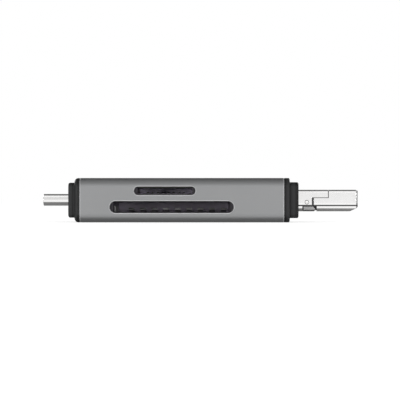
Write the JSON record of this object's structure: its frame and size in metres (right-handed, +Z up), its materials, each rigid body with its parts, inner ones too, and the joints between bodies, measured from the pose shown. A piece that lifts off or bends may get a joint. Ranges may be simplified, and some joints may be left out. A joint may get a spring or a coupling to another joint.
{
  "type": "usb memory card reader",
  "caption": "Pocket memory card reader: flat aluminium sleeve with card slots in one edge, an oval reversible plug at one end and a flat plug with a flip-down head at the other",
  "frame": {"origin": "on the sleeve's underside, in the middle of the overall length and of the depth", "axes": "+X along the reader from the oval plug to the flat plug, the card slots face -Y, +Z up"},
  "size_m": [0.0666, 0.026, 0.0092],
  "materials": {
    "anodised_aluminium": "fine bead-blasted, anodised space grey",
    "cap_plastic": "moulded, fine satin texture",
    "plated_steel": "nickel plated, polished",
    "spring_steel": "bright stamped strip",
    "socket_sheet": "rolled sheet",
    "socket_plastic": "moulded black",
    "socket_spring": "dull dark plated strip",
    "contact_gold": "gold plated",
    "core_plastic": "moulded black",
    "board_mask": "green solder mask",
    "chip_epoxy": "moulded epoxy",
    "capacitor_ceramic": "fired ceramic"
  },
  "bodies": {
    "reader_body": {"sleeve": "anodised_aluminium", "usb_c_end_cap": "cap_plastic", "usb_a_end_cap": "cap_plastic", "usb_c_shell": "plated_steel", "usb_a_base_shell": "plated_steel", "hinge_pins": "plated_steel", "micro_usb_shell": "plated_steel", "usb_c_latch_plate": "spring_steel", "micro_usb_latches": "spring_steel", "sd_socket_cover": "socket_sheet", "tf_socket_cover": "socket_sheet", "crystal": "socket_sheet", "sd_socket_base": "socket_plastic", "sd_contact_block": "socket_plastic", "tf_socket_base": "socket_plastic", "tf_contact_block": "socket_plastic", "sd_contacts": "socket_spring", "sd_detect_spring": "socket_spring", "tf_contacts": "socket_spring", "usb_c_contacts": "contact_gold", "terminal_springs": "contact_gold", "micro_usb_contacts": "contact_gold", "usb_c_insulator": "core_plastic", "plug_carrier": "core_plastic", "micro_usb_insulator": "core_plastic", "main_board": "board_mask", "controller_chip": "chip_epoxy", "regulator": "chip_epoxy", "capacitors": "capacitor_ceramic"},
    "flip_head": {"flip_head_shell": "plated_steel", "flip_head_tray": "core_plastic", "flip_head_contacts": "contact_gold"}
  },
  "joints": [
    {"name": "flip_head_hinge", "type": "hinge", "parent": "reader_body", "child": "flip_head", "pos_m": [0.02255, 0, 0.00418], "axis": [0, 1, 0], "range_deg": [0, 90]}
  ]
}
